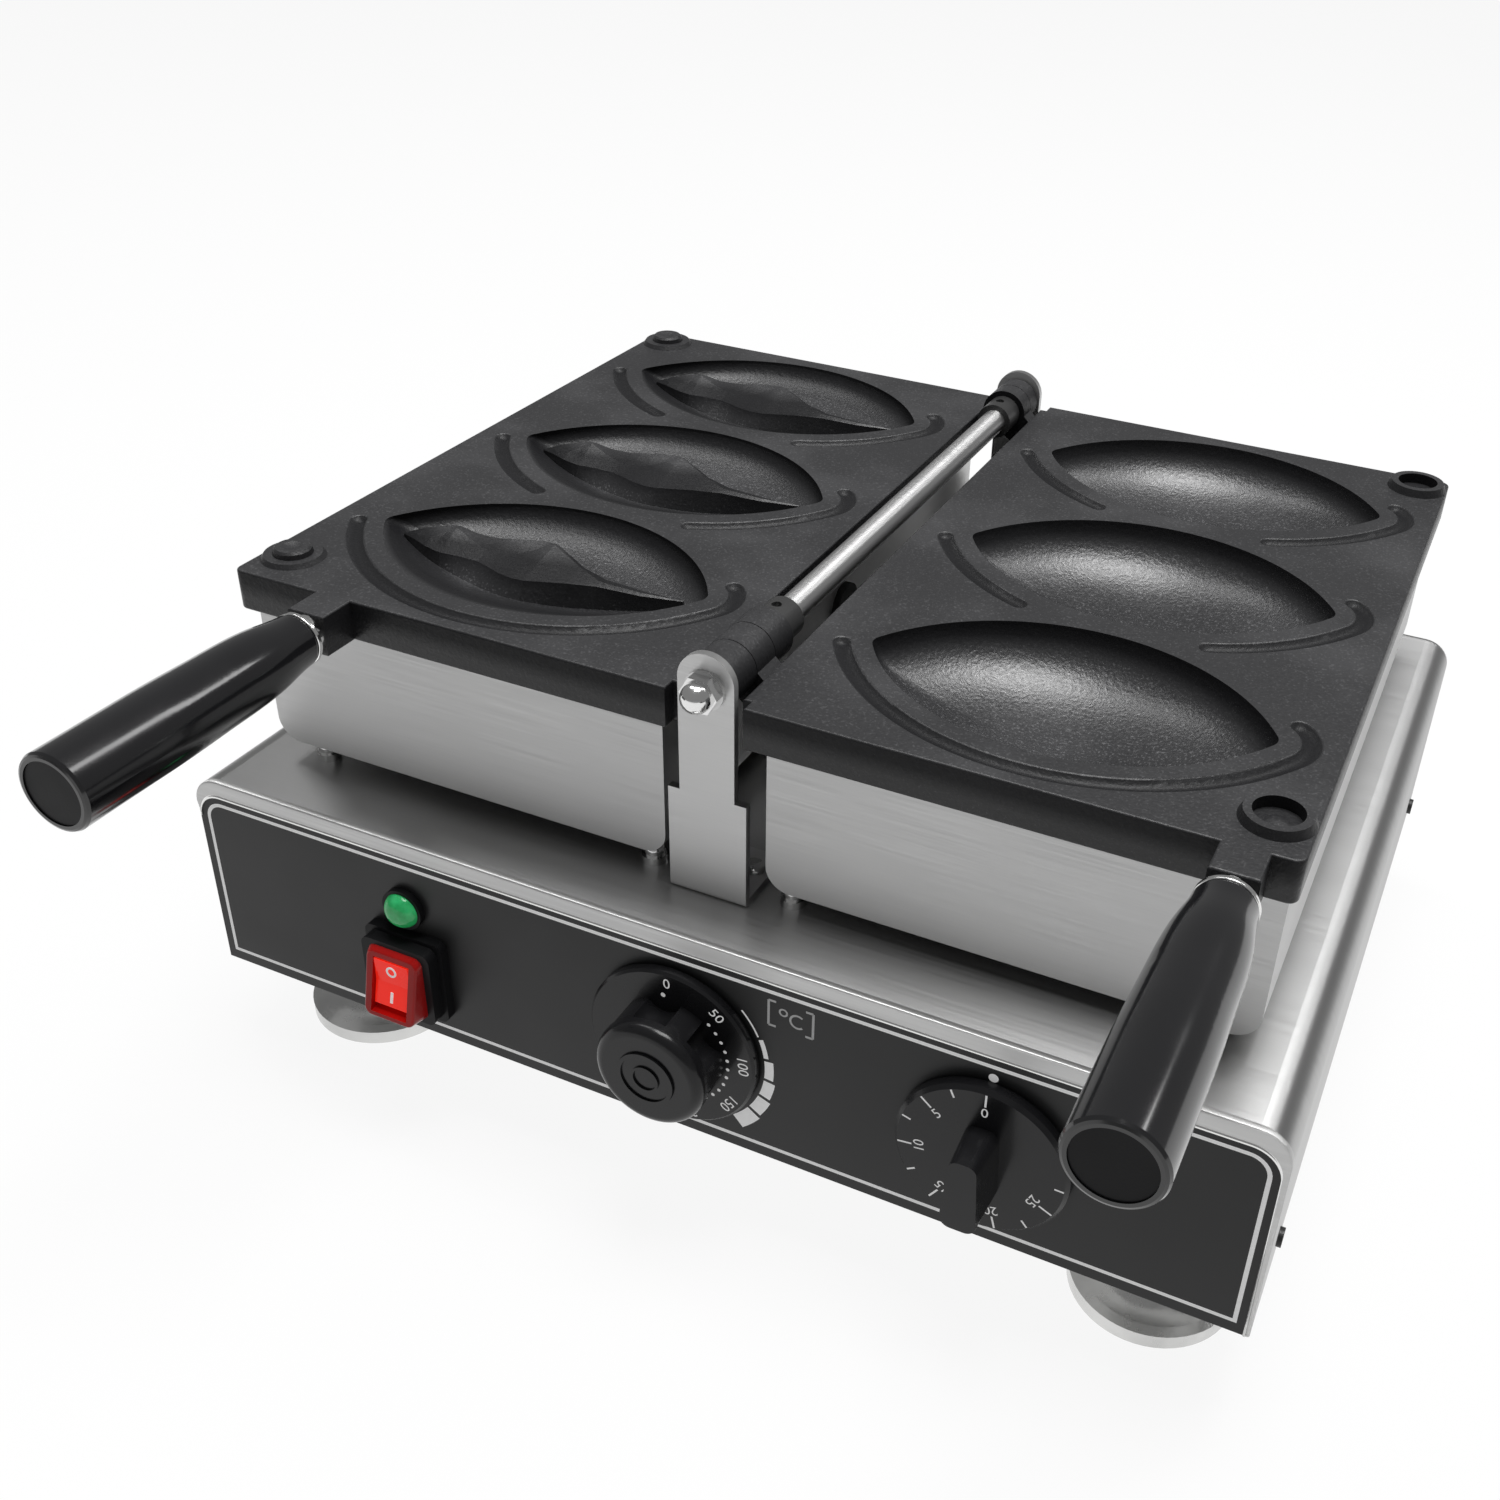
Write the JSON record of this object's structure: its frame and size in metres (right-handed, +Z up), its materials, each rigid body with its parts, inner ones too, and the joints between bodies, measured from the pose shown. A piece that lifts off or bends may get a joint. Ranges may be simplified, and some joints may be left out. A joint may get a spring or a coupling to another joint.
{
  "type": "shaped waffle maker",
  "caption": "Countertop waffle maker that opens like a book: two hinged plates with almond-shaped moulds over a steel base with dials, a switch and a lamp.",
  "frame": {"origin": "on the tabletop under the middle of the open machine's bounding box, handles and cable gland included", "axes": "+X to the right along the front, +Y from the front to the back, +Z up"},
  "size_m": [0.3676, 0.4018, 0.1958],
  "materials": {
    "brushed_steel": "brushed stainless sheet",
    "black_fascia": "satin black paint",
    "bright_metal": "polished",
    "plated_steel": "zinc plated",
    "black_steel": "blackened",
    "cast_feet": "satin grey",
    "rubber": "matte",
    "coated_aluminium": "dark non-stick coat over a casting",
    "heater_sheath": "oxidised sheath",
    "ceramic": "off-white ceramic",
    "mineral_felt": "pressed mineral felt",
    "gloss_black": "gloss",
    "matte_black": "satin",
    "red_plastic": "glossy translucent red",
    "green_lens": "glossy green"
  },
  "bodies": {
    "base": {"base_cover": "brushed_steel", "front_panel": "brushed_steel", "fascia": "black_fascia", "back_panel": "brushed_steel", "bottom_pan": "brushed_steel", "front_post": "brushed_steel", "rear_post": "brushed_steel", "hinge_rod": "bright_metal", "rod_washers": "plated_steel", "rod_nuts": "bright_metal", "rod_collars": "black_steel", "post_rivets": "plated_steel", "rest_studs": "bright_metal", "side_screws": "black_steel", "feet": "cast_feet", "foot_pads": "rubber", "foot_bolts": "plated_steel", "thermostat_body": "matte_black", "timer_body": "matte_black", "switch_body": "matte_black", "switch_frame": "red_plastic", "lamp_housing": "matte_black", "lamp_lens": "green_lens", "terminal_block": "ceramic", "cable_gland": "matte_black", "gland_nut": "plated_steel", "lead_bushes": "rubber"},
    "left_plate": {"left_mould_plate": "coated_aluminium", "left_heater_box": "brushed_steel", "left_box_screws": "plated_steel", "left_box_bush": "rubber", "left_insulation": "mineral_felt", "left_heater": "heater_sheath", "left_heater_clamps": "plated_steel", "left_heater_terminals": "ceramic", "left_handle_stud": "plated_steel", "left_ferrule": "bright_metal", "left_grip": "gloss_black", "left_grip_cap": "matte_black", "thermostat_bulb": "plated_steel"},
    "right_plate": {"right_mould_plate": "coated_aluminium", "right_heater_box": "brushed_steel", "right_box_screws": "plated_steel", "right_box_bush": "rubber", "right_insulation": "mineral_felt", "right_heater": "heater_sheath", "right_heater_clamps": "plated_steel", "right_heater_terminals": "ceramic", "right_handle_stud": "plated_steel", "right_ferrule": "bright_metal", "right_grip": "gloss_black", "right_grip_cap": "matte_black"},
    "thermostat_knob": {"thermostat_shaft": "plated_steel", "thermostat_dial": "matte_black", "thermostat_grip": "gloss_black", "thermostat_cap": "matte_black"},
    "timer_knob": {"timer_shaft": "plated_steel", "timer_dial": "matte_black", "timer_pointer": "gloss_black"},
    "switch_rocker": {"rocker": "red_plastic"}
  },
  "joints": [
    {"name": "left_plate_hinge", "type": "hinge", "parent": "base", "child": "left_plate", "pos_m": [0, 0.041, 0.1848], "axis": [0, 1, 0], "range_deg": [0, 180]},
    {"name": "right_plate_hinge", "type": "hinge", "parent": "base", "child": "right_plate", "pos_m": [0, 0.041, 0.1848], "axis": [0, -1, 0], "range_deg": [0, 180]},
    {"name": "thermostat_turn", "type": "hinge", "parent": "base", "child": "thermostat_knob", "pos_m": [0, -0.1098, 0.0713], "axis": [0, 1, 0], "range_deg": [0, 270]},
    {"name": "timer_turn", "type": "hinge", "parent": "base", "child": "timer_knob", "pos_m": [0.1005, -0.1098, 0.0713], "axis": [0, 1, 0], "range_deg": [0, 300]},
    {"name": "rocker_tilt", "type": "hinge", "parent": "base", "child": "switch_rocker", "pos_m": [-0.0995, -0.1148, 0.0616], "axis": [1, 0, 0], "range_deg": [0, 16]}
  ]
}
